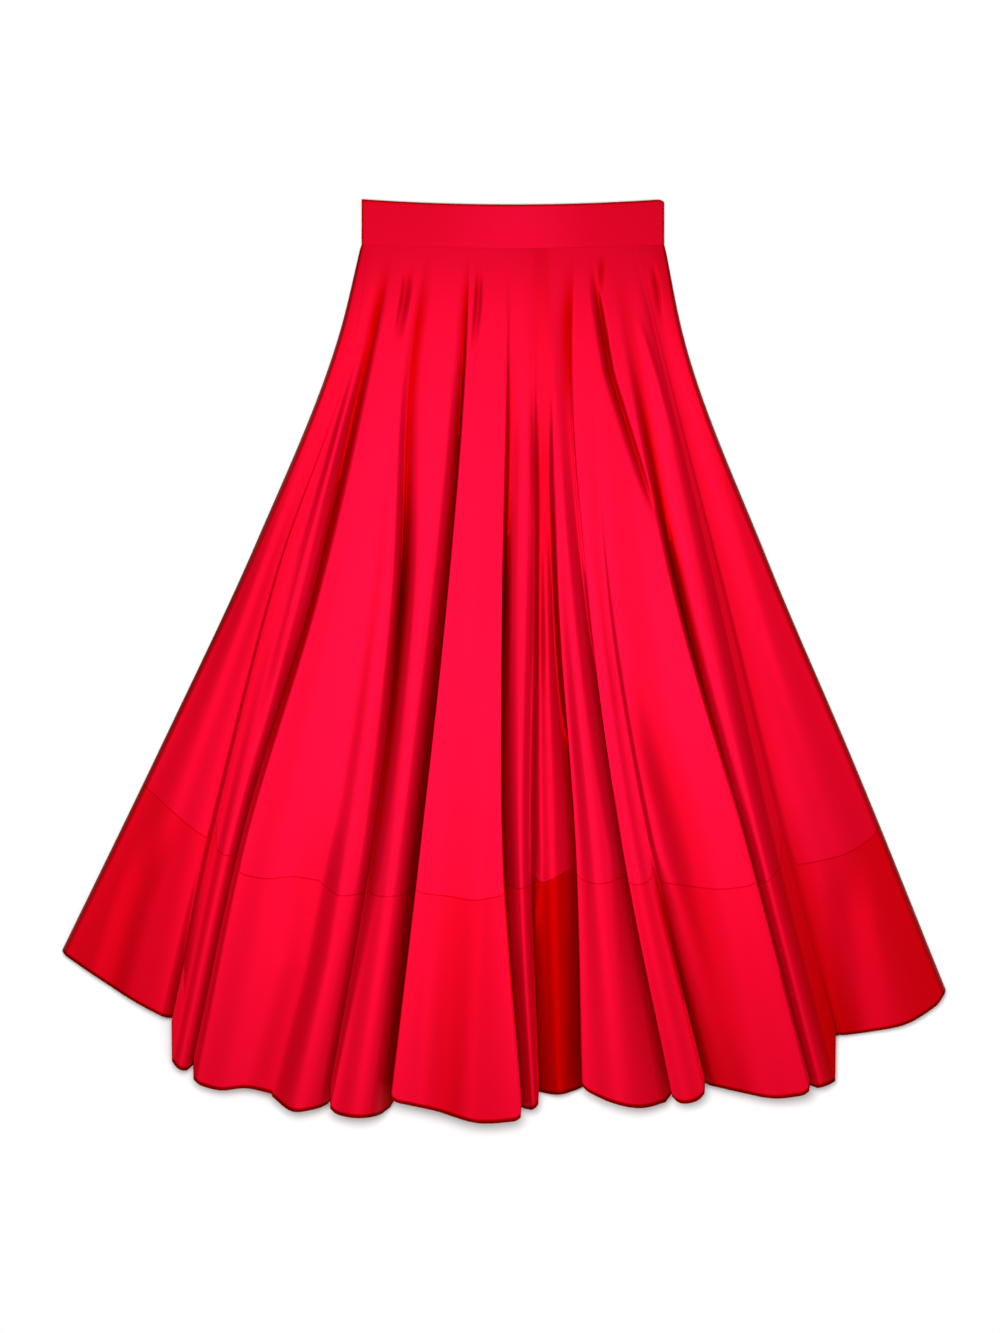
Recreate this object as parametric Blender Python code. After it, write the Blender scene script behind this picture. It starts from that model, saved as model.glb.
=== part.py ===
"""Circle skirt laid flat, waist toward +Y and hem toward -Y, front up, built in metres.

The front fans out from the waist seam in folds that stand up from the back like loose pleats. One table gives
each fold line from waist to hem, a second one gives the panel of cloth between two fold lines. Sections worked
out from both tables are lofted to the cloth's middle surface, and a wall is raised to both sides of it.
Sizes in the tables are millimetres.
"""
from collections import namedtuple
import math

import bpy
import numpy as np

MM = 0.001

# Sizes of the whole skirt
WAIST_SEAM_Y = 456.0
WAIST_SEAM_SAG = 4.0
WAIST_LEFT_X = -156.5
WAIST_RIGHT_X = 176.0
WAISTBAND_TOP_Y = 506.0
WAISTBAND_TOP_DIP = 6.0
FAN_CENTRE_X = 12.0
FAN_CENTRE_Y = 810.0
BAND_SEAM_LEVEL = 0.752
SEAM_GAP = 0.3

# Cloth
WALL = 1.5
WAISTBAND_WALL = 2.2
BACK_INSET = 2.0
BACK_MIDDLE_HEIGHT = WALL / 2
FRONT_MIDDLE_HEIGHT = WALL + SEAM_GAP + WALL / 2
WAIST_DOME = 1.6
WAISTBAND_CORNER = 7.0

# Waist seam is level 0 and the hem is level 1
LEVELS = np.array((0.0, 0.12, 0.42, 0.71, 1.0))
SKIRT_ROWS = (0.0, 0.045, 0.10, 0.17, 0.25, 0.34, 0.44, 0.54, 0.65, BAND_SEAM_LEVEL)
HEM_BAND_ROWS = (0.82, 0.89, 0.95, 1.0)

# How the folds grow from the waist seam, where the cloth is smooth: their height is a power of the level. Each
# starts as a valley with open lips, which close to a narrow mouth further down
HEIGHT_GROWTH = 0.75
FOLD_ONSET = 0.22
CLOSING_START = 0.10
CLOSING_LENGTH = 0.42
OPEN_SHARE = 0.24
OPEN_LIMIT = 8.0
EDGE_ROUND = 9.0
EDGE_SHARE = 0.28
LIP_RISE = 0.68
FOOT_ROUND = 3.0
FOOT_SHARE = 0.35
SIDE_ROLL = 4.0
SIDE_SEAM_DROP = 0.3

# Samples of the curve after each control point: the side's roll, a panel's crown and a fold
SIDE_SAMPLES = [1, 1, 2]
CROWN_SAMPLES = [1, 1, 2]
FOLD_SAMPLES = [1, 2, 1, 2, 1, 2]

# Each fold line: its place across the skirt at the five levels, then where its lips and feet lie beside that
# line at the hem, the height of its floor, the radius of its hem from the fan's centre and where it starts
Fold = namedtuple("Fold", "name waist high middle low hem left_lip left_foot right_foot right_lip floor radius start")
FOLDS = (
    Fold("left_pleat", -130, -163, -247, -309, -361, -5.0, -3.0, 6.0, 0.0, 2.9, 1290, 0.02),
    Fold("left_valley", -111, -145, -200, -272, -338, -7.0, -3.0, 6.0, 7.0, 2.9, 1300, 0.00),
    Fold("left_hem_dip", -87, -112, -150, -192, -254, -12.0, -7.0, 7.0, 12.0, 16.0, 1316, 0.70),
    Fold("left_centre", -60, -67, -113, -143, -187, -2.5, -9.0, 6.0, 2.5, 2.9, 1290, 0.02),
    Fold("deep_left", -31, -44, -69, -99, -124, -4.5, -11.0, 9.0, 4.5, 2.9, 1289, 0.00),
    Fold("middle", 4, 6, 4, 1, 16, -2.5, -9.0, 3.0, 3.0, 2.9, 1283, 0.08),
    Fold("middle_right", 33, 33, 35, 34, 42, -3.0, -5.0, 4.0, 6.0, 3.2, 1281, 0.10),
    Fold("under_right", 49, 51, 54, 73, 83, -5.0, -2.0, 9.0, -1.0, 2.9, 1276, 0.05),
    Fold("right_centre", 60, 67, 88, 122, 179, -3.0, -9.0, 7.0, 3.0, 2.9, 1277, 0.00),
    Fold("right_narrow", 86, 91, 108, 150, 218, -3.0, -7.0, 5.0, 1.5, 3.4, 1288, 0.08),
    Fold("right_pleat", 119, 141, 192, 261, 331, -1.5, -9.0, 5.0, 4.0, 2.9, 1305, 0.00),
    Fold("far_right", 144, 165, 219, 288, 361, -1.0, -8.0, 0.5, 5.5, 2.9, 1272, 0.03),
)

# Each panel of cloth between two fold lines: height of its crown at the left, middle and right of the hem,
# and the radius of its hem at the same three places
Panel = namedtuple("Panel", "name left_top middle_top right_top left_radius middle_radius right_radius")
PANELS = (
    Panel("side_left", 9.0, 12.0, 10.0, 1236, 1255, 1268),
    Panel("pleat_left", 19.5, 21.5, 19.5, 1307, 1308, 1307),
    Panel("left_outer", 22.0, 24.5, 24.0, 1318, 1321, 1314),
    Panel("left_inner", 25.5, 28.5, 26.5, 1322, 1325, 1316),
    Panel("left_front", 30.0, 33.5, 30.5, 1308, 1323, 1312),
    Panel("centre", 33.5, 38.0, 35.5, 1298, 1317, 1311),
    Panel("centre_tuck", 24.0, 26.0, 22.5, 1300, 1300, 1296),
    Panel("centre_low", 12.5, 15.0, 12.5, 1283, 1289, 1280),
    Panel("right_front", 27.5, 33.0, 31.0, 1278, 1300, 1305),
    Panel("right_roll", 26.0, 27.5, 26.0, 1301, 1307, 1303),
    Panel("right_wide", 31.0, 29.5, 34.0, 1292, 1312, 1320),
    Panel("pleat_right", 20.5, 22.5, 20.0, 1318, 1320, 1318),
    Panel("side_right", 12.5, 11.5, 10.5, 1274, 1283, 1271),
)

# The two side edges, with the radius of the hem at their corners
Side = namedtuple("Side", "name waist high middle low hem radius")
LEFT_SIDE = Side("left", WAIST_LEFT_X, -179, -271, -376, -485, 1234)
RIGHT_SIDE = Side("right", WAIST_RIGHT_X, 196, 288, 389, 485, 1263)

LINES = (LEFT_SIDE,) + FOLDS + (RIGHT_SIDE,)

# The back hem lies a little inside the front hem, and rises to meet it at both side seams
BACK_HEM_RADIUS = 1262.0
BACK_CORNER_RISE = 3.0
BACK_COLUMNS = 25

WAISTBAND_COLUMNS = 25
WAISTBAND_ROWS = 5
WAISTBAND_BACK_INSET = 0.6
SHARP_ANGLE = math.radians(50)

Cloth = namedtuple("Cloth", "colour roughness")
SATIN = Cloth((0.86, 0.0, 0.035, 1.0), 0.42)
WAISTBAND_SATIN = Cloth((0.82, 0.0, 0.030, 1.0), 0.45)


def along(row, level):
    """Return the place of a fold line or side edge at a level, on a smooth curve through its five places."""
    places = np.array((row.waist, row.high, row.middle, row.low, row.hem), dtype=float)
    slopes = np.gradient(places, LEVELS)
    span = min(int(np.searchsorted(LEVELS, level, side="right")) - 1, len(LEVELS) - 2)
    length = LEVELS[span + 1] - LEVELS[span]
    u = (level - LEVELS[span]) / length
    start = (2 * u ** 3 - 3 * u ** 2 + 1) * places[span] + (u ** 3 - 2 * u ** 2 + u) * length * slopes[span]
    end = (3 * u ** 2 - 2 * u ** 3) * places[span + 1] + (u ** 3 - u ** 2) * length * slopes[span + 1]
    return start + end


def ease(value):
    """Return a soft step from 0 to 1."""
    value = min(max(value, 0.0), 1.0)
    return value * value * (3 - 2 * value)


def waist_seam_y(x):
    """Return the waist seam, a shallow curve that is lowest in the middle."""
    half = (WAIST_RIGHT_X - WAIST_LEFT_X) / 2
    across = (x - (WAIST_LEFT_X + half)) / half
    return WAIST_SEAM_Y - WAIST_SEAM_SAG * (1 - across * across)


def hem_y(x, radius):
    """Return the hem at a radius from the fan's centre."""
    return FAN_CENTRE_Y - math.sqrt(radius ** 2 - (x - FAN_CENTRE_X) ** 2)


def dome(x):
    """Return how far the front rises over the middle of the waist."""
    half = (WAIST_RIGHT_X - WAIST_LEFT_X) / 2
    across = (x - (WAIST_LEFT_X + half)) / half
    return WAIST_DOME * max(0.0, 1 - across * across)


def place(level, x, waist_x, hem_x, radius, height):
    """Return one point of the front's middle surface, on the line from the waist seam down to its hem."""
    top = waist_seam_y(waist_x)
    y = top + (hem_y(hem_x, radius) - top) * level
    return np.array((x, y, height + dome(waist_x) * (1 - level)))


def open_lip(width):
    """Return how far a lip lies from its fold line where the fold is still a shallow valley."""
    return min(OPEN_LIMIT, OPEN_SHARE * width)


def fold_points(index, level):
    """Return a fold at a level: left lip, round left foot, round right foot and right lip, six points in all."""
    fold = FOLDS[index]
    before, after = PANELS[index], PANELS[index + 1]
    line = along(fold, level)
    left_open = open_lip(line - along(LINES[index], level))
    right_open = open_lip(along(LINES[index + 2], level) - line)
    left_waist = open_lip(fold.waist - LINES[index].waist)
    right_waist = open_lip(LINES[index + 2].waist - fold.waist)
    opened = ease((level - fold.start) / FOLD_ONSET)
    closing = ease((level - CLOSING_START) / CLOSING_LENGTH)
    left_height = crown_height(before.right_top, level)
    right_height = crown_height(after.left_top, level)
    floor = crown_height(fold.floor, level)
    floor_left = left_height + (floor - left_height) * opened
    floor_right = right_height + (floor - right_height) * opened
    left_bend = min(FOOT_ROUND, FOOT_SHARE * (left_height - floor_left))
    right_bend = min(FOOT_ROUND, FOOT_SHARE * (right_height - floor_right))
    left_lip = floor_left + (left_height - floor_left) * LIP_RISE
    right_lip = floor_right + (right_height - floor_right) * LIP_RISE
    steps = (
        (-1.0, left_open, left_waist, fold.left_lip, before.right_radius, left_lip),
        (-0.5, left_open, left_waist, fold.left_foot, fold.radius, floor_left + left_bend),
        (-0.2, left_open, left_waist, fold.left_foot + FOOT_ROUND, fold.radius, floor_left),
        (0.2, right_open, right_waist, fold.right_foot - FOOT_ROUND, fold.radius, floor_right),
        (0.5, right_open, right_waist, fold.right_foot, fold.radius, floor_right + right_bend),
        (1.0, right_open, right_waist, fold.right_lip, after.left_radius, right_lip),
    )
    points = []
    for share, opening, waist_opening, at_hem, radius, height in steps:
        x = line + share * opening + (at_hem - share * opening) * closing
        points.append(place(level, x, fold.waist + share * waist_opening, fold.hem + at_hem, radius, height))
    return points


def crown_height(top, level):
    """Return the height that a panel's crown has at a level."""
    return FRONT_MIDDLE_HEIGHT + (top - FRONT_MIDDLE_HEIGHT) * level ** HEIGHT_GROWTH


def panel_points(panel, level, left, right):
    """Return the three crown points of a panel between its two edge points."""
    width = right[0] - left[0]
    inset = min(EDGE_ROUND, EDGE_SHARE * width)
    tops = (panel.left_top, panel.middle_top, panel.right_top)
    radii = (panel.left_radius, panel.middle_radius, panel.right_radius)
    shares = (inset / width, 0.5, 1 - inset / width)
    points = []
    for top, radius, share in zip(tops, radii, shares):
        x = left[0] + width * share
        waist_x = left[1] + (right[1] - left[1]) * share
        hem_x = left[2] + (right[2] - left[2]) * share
        points.append(place(level, x, waist_x, hem_x, radius, crown_height(top, level)))
    return points


def side_points(side, level, inward, panel_top, radius):
    """Return the rolled side edge from the side seam up to the shoulder of the first panel."""
    edge = along(side, level)
    growth = level ** HEIGHT_GROWTH
    crown = crown_height(panel_top, level)
    seam_height = FRONT_MIDDLE_HEIGHT - SIDE_SEAM_DROP * growth
    tuck = 0.4 * SIDE_ROLL * growth
    bulge = 0.3 * SIDE_ROLL * (1 - growth)
    steps = ((tuck, 0.0), (bulge, 0.42), (0.8 * SIDE_ROLL, 0.86))
    points = []
    for step, rise in steps:
        height = seam_height + (crown - seam_height) * rise
        waist_x = side.waist + inward * step
        hem_x = side.hem + inward * step
        points.append(place(level, edge + inward * step, waist_x, hem_x, radius, height))
    return points


def section(level):
    """Return the control points of the front at a level and the samples wanted after each of them."""
    points = side_points(LEFT_SIDE, level, 1, PANELS[0].left_top, LEFT_SIDE.radius)
    samples = list(SIDE_SAMPLES)
    left_edge = (points[-1][0], LEFT_SIDE.waist + SIDE_ROLL, LEFT_SIDE.hem + SIDE_ROLL)
    for index, panel in enumerate(PANELS[:-1]):
        fold = FOLDS[index]
        closing = fold_points(index, level)
        left_waist = fold.waist - open_lip(fold.waist - LINES[index].waist)
        right_waist = fold.waist + open_lip(LINES[index + 2].waist - fold.waist)
        right_edge = (closing[0][0], left_waist, fold.hem + fold.left_lip)
        points += panel_points(panel, level, left_edge, right_edge)
        points += closing
        samples += CROWN_SAMPLES + FOLD_SAMPLES
        left_edge = (closing[-1][0], right_waist, fold.hem + fold.right_lip)
    last = PANELS[-1]
    closing = side_points(RIGHT_SIDE, level, -1, last.right_top, RIGHT_SIDE.radius)[::-1]
    right_edge = (closing[0][0], RIGHT_SIDE.waist - SIDE_ROLL, RIGHT_SIDE.hem - SIDE_ROLL)
    points += panel_points(last, level, left_edge, right_edge)
    points += closing
    samples += CROWN_SAMPLES + SIDE_SAMPLES[::-1]
    return np.array(points), samples


def curve_through(points, samples):
    """Return points on a centripetal Catmull-Rom curve, with so many samples after each control point."""
    first = 2 * points[0] - points[1]
    final = 2 * points[-1] - points[-2]
    padded = np.vstack((first, points, final))
    steps = np.sqrt(np.maximum(np.linalg.norm(np.diff(padded, axis=0), axis=1), 1e-6))
    result = []
    for index in range(len(points) - 1):
        p0, p1, p2, p3 = padded[index:index + 4]
        d0, d1, d2 = steps[index:index + 3]
        tangent_1 = (p1 - p0) / d0 - (p2 - p0) / (d0 + d1) + (p2 - p1) / d1
        tangent_2 = (p2 - p1) / d1 - (p3 - p1) / (d1 + d2) + (p3 - p2) / d2
        for sample in range(samples[index]):
            u = sample / samples[index]
            result.append((2 * u ** 3 - 3 * u ** 2 + 1) * p1 + (u ** 3 - 2 * u ** 2 + u) * d1 * tangent_1
                          + (3 * u ** 2 - 2 * u ** 3) * p2 + (u ** 3 - u ** 2) * d1 * tangent_2)
    result.append(points[-1])
    return np.array(result)


def front_surface(levels):
    """Return the grid of the front's middle surface, a row for each level."""
    return np.array([curve_through(*section(level)) for level in levels])


def back_surface(levels):
    """Return the grid of the back, one flat layer inside the front's outline."""
    rows = []
    for level in levels:
        left = along(LEFT_SIDE, level) + BACK_INSET
        right = along(RIGHT_SIDE, level) - BACK_INSET
        row = []
        for share in np.linspace(0, 1, BACK_COLUMNS):
            waist_x = WAIST_LEFT_X + BACK_INSET + (WAIST_RIGHT_X - WAIST_LEFT_X - 2 * BACK_INSET) * share
            hem_x = LEFT_SIDE.hem + BACK_INSET + (RIGHT_SIDE.hem - LEFT_SIDE.hem - 2 * BACK_INSET) * share
            corner = (LEFT_SIDE if share < 0.5 else RIGHT_SIDE).radius - BACK_CORNER_RISE
            radius = BACK_HEM_RADIUS + (corner - BACK_HEM_RADIUS) * abs(2 * share - 1) ** 3
            top = waist_seam_y(waist_x)
            y = top + (hem_y(hem_x, radius) - top) * level
            row.append((left + (right - left) * share, y, BACK_MIDDLE_HEIGHT))
        rows.append(row)
    return np.array(rows)


def waistband_surface(side_inset, height, crown):
    """Return the grid of one waistband piece, square at its left end and rounded at its right one."""
    rows = []
    left = WAIST_LEFT_X + side_inset
    right = WAIST_RIGHT_X - side_inset
    half = (WAIST_RIGHT_X - WAIST_LEFT_X) / 2
    for rise in np.linspace(0, 1, WAISTBAND_ROWS):
        row = []
        for share in np.linspace(0, 1, WAISTBAND_COLUMNS):
            x = left + (right - left) * share
            across = (x - WAIST_LEFT_X - half) / half
            bottom = waist_seam_y(x) + SEAM_GAP
            corner = max(0.0, 1 - (right - x) / WAISTBAND_CORNER)
            dip = WAISTBAND_TOP_DIP * (1 - across * across) + WAISTBAND_CORNER / 2 * corner ** 2
            top = WAISTBAND_TOP_Y - dip
            row.append((x, bottom + (top - bottom) * rise, height + crown * (1 - across * across)))
        rows.append(row)
    return np.array(rows[::-1])


def normals_of(grid):
    """Return the unit normals of a grid of points, pointing up where it lies flat."""
    down = np.gradient(grid, axis=0)
    across = np.gradient(grid, axis=1)
    normals = np.cross(down, across)
    return normals / np.linalg.norm(normals, axis=2, keepdims=True)


def add_cloth(name, grid, normals, wall, cloth):
    """Make one named piece of cloth as a closed wall, half its thickness to each side of its middle surface."""
    rows, columns = grid.shape[:2]
    points = np.concatenate([(grid + normals * wall / 2).reshape(-1, 3), (grid - normals * wall / 2).reshape(-1, 3)])
    upper = np.arange(rows * columns).reshape(rows, columns)
    lower = upper + rows * columns
    faces = [np.stack([upper[:-1, :-1], upper[1:, :-1], upper[1:, 1:], upper[:-1, 1:]], axis=-1).reshape(-1, 4),
             np.stack([lower[:-1, :-1], lower[:-1, 1:], lower[1:, 1:], lower[1:, :-1]], axis=-1).reshape(-1, 4)]
    rim = np.concatenate([upper[0, :-1], upper[:-1, -1], upper[-1, :0:-1], upper[:0:-1, 0]])
    following = np.roll(rim, -1)
    faces.append(np.stack([rim, following, following + rows * columns, rim + rows * columns], axis=-1))
    mesh = bpy.data.meshes.new(name)
    mesh.from_pydata((points * MM).tolist(), [], np.concatenate(faces).tolist())
    mesh.shade_smooth()
    mesh.set_sharp_from_angle(angle=SHARP_ANGLE)
    piece = bpy.data.objects.new(name, mesh)
    bpy.context.scene.collection.objects.link(piece)
    material = bpy.data.materials.new(name + "_cloth")
    material.use_nodes = True
    shader = material.node_tree.nodes["Principled BSDF"]
    shader.inputs["Base Color"].default_value = cloth.colour
    shader.inputs["Roughness"].default_value = cloth.roughness
    shader.inputs["Metallic"].default_value = 0.0
    mesh.materials.append(material)
    return piece


def add_panel_and_band(side, surface):
    """Make a skirt panel and the hem band below it from one surface, parted by a gap at the band's seam."""
    grid = surface(SKIRT_ROWS + HEM_BAND_ROWS)
    normals = normals_of(grid)
    seam = len(SKIRT_ROWS) - 1
    across = np.gradient(grid[seam], axis=0)
    across /= np.linalg.norm(across, axis=1, keepdims=True)
    band_top = grid[seam] + SEAM_GAP * np.cross(across, normals[seam])
    band = np.concatenate([band_top[None], grid[seam + 1:]])
    add_cloth("skirt_" + side, grid[:seam + 1], normals[:seam + 1], WALL, SATIN)
    add_cloth("hem_band_" + side, band, normals[seam:], WALL, SATIN)


for old in list(bpy.data.objects):
    bpy.data.objects.remove(old, do_unlink=True)

add_panel_and_band("front", front_surface)
add_panel_and_band("back", back_surface)
back_band = waistband_surface(WAISTBAND_BACK_INSET, WAISTBAND_WALL / 2, 0.0)
front_band = waistband_surface(0.0, WAISTBAND_WALL * 1.5 + SEAM_GAP, WAIST_DOME)
add_cloth("waistband_back", back_band, normals_of(back_band), WAISTBAND_WALL, WAISTBAND_SATIN)
add_cloth("waistband_front", front_band, normals_of(front_band), WAISTBAND_WALL, WAISTBAND_SATIN)
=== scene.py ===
"""Circle skirt in smooth red double knit, laid flat on a pale floor and seen from straight above."""
import math

import bpy
import numpy as np
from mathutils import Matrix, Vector


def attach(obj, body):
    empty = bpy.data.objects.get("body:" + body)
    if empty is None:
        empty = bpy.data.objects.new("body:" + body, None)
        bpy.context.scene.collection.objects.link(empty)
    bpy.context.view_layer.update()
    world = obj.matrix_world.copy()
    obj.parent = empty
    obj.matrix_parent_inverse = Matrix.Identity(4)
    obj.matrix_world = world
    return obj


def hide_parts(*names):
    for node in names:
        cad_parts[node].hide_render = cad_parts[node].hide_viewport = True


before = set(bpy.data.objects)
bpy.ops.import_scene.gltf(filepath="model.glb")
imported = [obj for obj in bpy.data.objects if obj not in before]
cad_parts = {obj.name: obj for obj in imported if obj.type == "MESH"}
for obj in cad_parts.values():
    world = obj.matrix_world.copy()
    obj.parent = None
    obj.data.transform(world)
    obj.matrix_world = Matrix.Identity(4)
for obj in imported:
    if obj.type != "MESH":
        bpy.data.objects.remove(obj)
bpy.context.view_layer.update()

# Camera straight above the skirt, which lies waist up in the picture. The picture is 1000 by 1333 and one of
# its pixels is 1.1 mm on the floor; the skirt's middle is 4 pixels right of the picture's middle and 7 above.
PIXEL = 0.0011
PICTURE_HEIGHT = 1333 * PIXEL
PICTURE_MIDDLE_X = -4 * PIXEL
PICTURE_MIDDLE_Y = -7 * PIXEL
CAMERA_HEIGHT = 5.0
SENSOR = 36.0
camera_data = bpy.data.cameras.new("camera")
camera_data.sensor_width = SENSOR
camera_data.lens = SENSOR / 2 * CAMERA_HEIGHT / (PICTURE_HEIGHT / 2)
camera_data.clip_end = 50.0
camera = bpy.data.objects.new("camera", camera_data)
camera.location = (PICTURE_MIDDLE_X, PICTURE_MIDDLE_Y, CAMERA_HEIGHT)
bpy.context.scene.collection.objects.link(camera)
bpy.context.scene.camera = camera

# Front panel: one quarter ring of double knit, sewn into the waistband at its top and to the hem band at its
# lower edge. It fans out in twelve folds, which lie on the back panel.
#
# Lengths in the tables are millimetres in the frame of the solids. A level is 0 at the waist seam and 1 at
# the hem. A fold's line is given at five levels, its dark and its slopes at seven, and its widths at three.
MM = 0.001
LINE_LEVELS = np.array((0.0, 0.12, 0.42, 0.71, 1.0))
DEPTH_LEVELS = np.array((0.0, 0.09, 0.25, 0.42, 0.71, 0.80, 1.0))
WIDTH_LEVELS = (0.0, 0.71, 1.0)
LEFT_EDGE = (-156.5, -179, -271, -376, -485)
RIGHT_EDGE = (176.0, 196, 288, 389, 485)

# Each fold: its line, where the upper layer's lip runs; the level where the slot under the lip starts to
# open; how much shade is painted beside the line and the share of the height around it that its slopes take,
# both at seven levels; the widths of its left and right slopes at the waist, the band's seam and the hem; how
# far its bottom slips to the right; and its hem radius. The bottom slips under the layer on top, so a minus
# means the left one lies on top. The left_hem_dip has no slot: it parts two panels, and its dip is a crease.
FOLDS = {
    "left_pleat": ((-150, -163, -247, -309, -364), 0.78, (0, 0, 0.06, 0.08, 0.08, 0.02, 0),
                   (0, 0, 0.04, 0.04, 0.05, 0.06, 0.06), (10, 24, 12), (8, 8, 5), 14, 1264),
    "left_valley": ((-122, -145, -206, -283, -340), 0.20, (0, 0.36, 0.44, 0.36, 0.14, 0.10, 0.10),
                    (0, 0.26, 0.38, 0.36, 0.28, 0.26, 0.26), (18, 12, 12), (10, 6, 9), 12, 1298),
    "left_hem_dip": ((-87, -112, -150, -193, -254), 2.0, (0, 0, 0, 0, 0, 0, 0),
                     (0, 0, 0, 0, 0, 0, 0), (20, 20, 24), (20, 22, 26), 1, 1316),
    "left_centre": ((-82, -98, -112, -143, -190), 0.32, (0, 0.30, 0.34, 0.86, 0.26, 0.08, 0.14),
                    (0, 0.14, 0.26, 0.50, 0.36, 0.26, 0.26), (10, 8, 20), (22, 14, 5), 18, 1295),
    "deep_left": ((-38, -42, -63, -92, -124), 0.10, (0, 0.45, 0.88, 0.92, 0.92, 0.92, 0.88),
                  (0, 0.22, 0.48, 0.60, 0.60, 0.60, 0.58), (10, 18, 22), (5, 4, 5), 20, 1286),
    "middle": ((4, 4, -2, -1, 19), 0.30, (0, 0.04, 0.34, 1.0, 1.0, 0.40, 0.16),
               (0, 0.10, 0.35, 0.48, 0.46, 0.22, 0.18), (5, 4, 5), (20, 11, 10), -16, 1298),
    "middle_right": ((33, 33, 33, 29, 38), 0.68, (0, 0, 0.02, 0.02, 0.02, 0.05, 0.10),
                     (0, 0.06, 0.06, 0.05, 0.06, 0.25, 0.32), (14, 10, 5), (14, 12, 16), -12, 1284),
    "under_right": ((49, 52, 59, 78, 85), 0.45, (0, 0, 0.05, 0.30, 0.85, 0.88, 0.85),
                    (0, 0, 0.10, 0.30, 0.48, 0.50, 0.50), (12, 11, 16), (8, 4, 5), 20, 1276),
    "right_centre": ((76, 73, 93, 130, 184), 0.34, (0, 0.40, 0.14, 0.06, 0.06, 0.10, 0.10),
                     (0, 0.22, 0.18, 0.18, 0.22, 0.26, 0.30), (24, 9, 46), (8, 4, 5), 18, 1279),
    "right_narrow": ((92, 96, 112, 155, 220), 0.74, (0, 0, 0, 0, 0.02, 0.16, 0.24),
                     (0, 0, 0.04, 0.04, 0.06, 0.24, 0.36), (6, 6, 5), (10, 20, 54), -16, 1288),
    "right_pleat": ((119, 138, 191, 264, 334), 0.28, (0, 0.10, 0.36, 0.74, 0.16, 0.08, 0.10),
                    (0, 0.08, 0.28, 0.56, 0.42, 0.36, 0.32), (12, 4, 5), (26, 13, 11), -20, 1312),
    "far_right": ((144, 170, 236, 297, 364), 0.90, (0, 0.04, 0.12, 0.14, 0.16, 0.20, 0.26),
                  (0, 0.20, 0.26, 0.26, 0.28, 0.32, 0.36), (10, 22, 22), (20, 45, 80), -16, 1272),
}

# Each panel between two lines: height of its crown at the left, middle and right of the hem; radius of the
# hem at the left, one third, two thirds and right; level of the band's seam at the left and right.
CROWNS = 0
SEAM_LEVELS = 2
PANELS = {
    "side_left": ((9.0, 13.0, 16.0), (1237, 1247, 1257, 1264), (0.763, 0.768)),
    "pleat_left": ((17.5, 19.0, 19.5), (1309, 1312, 1311, 1306), (0.740, 0.740)),
    "left_outer": ((22.0, 24.5, 24.8), (1322, 1322, 1313, 1313), (0.750, 0.749)),
    "left_inner": ((24.8, 28.5, 26.5), (1316, 1327, 1322, 1313), (0.749, 0.752)),
    "left_front": ((30.0, 33.5, 30.5), (1321, 1323, 1320, 1312), (0.748, 0.745)),
    "centre": ((33.5, 38.0, 35.5), (1300, 1306, 1317, 1314), (0.755, 0.743)),
    "centre_tuck": ((24.0, 26.0, 22.5), (1301, 1303, 1303, 1301), (0.744, 0.744)),
    "centre_low": ((12.5, 15.0, 12.5), (1284, 1288, 1287, 1281), (0.750, 0.740)),
    "right_front": ((27.5, 33.0, 31.0), (1282, 1299, 1308, 1304), (0.748, 0.736)),
    "right_roll": ((26.0, 27.5, 26.0), (1304, 1309, 1309, 1305), (0.745, 0.745)),
    "right_wide": ((31.0, 29.5, 34.0), (1292, 1307, 1321, 1325), (0.757, 0.754)),
    "pleat_right": ((20.5, 19.5, 17.0), (1320, 1322, 1322, 1321), (0.756, 0.744)),
    "side_right": ((16.0, 12.5, 10.5), (1273, 1280, 1284, 1274), (0.784, 0.779)),
}

# Softer creases, pressed in: y and x where each starts, bends and ends, its rise three tenths of the way
# along and at its end, its widths to the left and right, and how dark it is at the same two places. A
# trough's rise is negative. Those that end above the hem fade out over the last quarter of their way.
# The dark of each crease is shade painted into the colour.
CREASES = {
    "outer_left": ((400, 134, -120), (-138, -212, -274), (1.6, 1.2), (8, 8), (0, 0)),
    "waist_left_fine": ((442, 402, 335), (-106, -109, -121), (-1.6, 0), (6, 9), (0.20, 0)),
    "waist_centre_fine": ((444, 395, 325), (-26, -28, -34), (-1.4, 0), (6, 5), (0.20, 0)),
    "middle_right_soft": ((310, 150, -60), (38, 43, 37), (-2.2, -1.0), (13, 13), (0.14, 0.05)),
    "waist_right_left": ((448, 430, 395), (110, 109, 106), (-1.6, 0), (8, 4), (0.28, 0)),
    "waist_right": ((448, 316, 140), (95, 117, 172), (-3.0, -1.5), (10, 5), (0.52, 0.25)),
    "right_ridge": ((385, 316, 210), (144, 165, 196), (1.2, 0), (5, 5), (0, 0)),
    "waist_right_end": ((438, 402, 365), (165, 170, 175), (-1.4, 0), (8, 3), (0.22, 0)),
    "left_hem_dip": ((-150, -335, -490), (-194, -218, -261), (-2.0, -3.4), (34, 30), (0.06, 0.08)),
    "centre_middle": ((80, -180, -520), (-37, -47, -66), (-2.0, -3.2), (32, 32), (0.04, 0.16)),
    "right_wide_middle": ((20, -200, -500), (134, 196, 262), (-2.4, -3.0), (32, 32), (0.16, 0.14)),
    "side_left_band": ((-180, -270, -420), (-375, -408, -450), (-2.0, -3.0), (24, 24), (0.05, 0.08)),
    "side_right_band": ((-200, -290, -460), (372, 382, 400), (-2.0, -3.0), (30, 30), (0.03, 0.06)),
}


def ease(value):
    """Soft step from 0 to 1: 3 t squared less 2 t cubed."""
    value = np.clip(value, 0.0, 1.0)
    return value * value * (3 - 2 * value)


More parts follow.
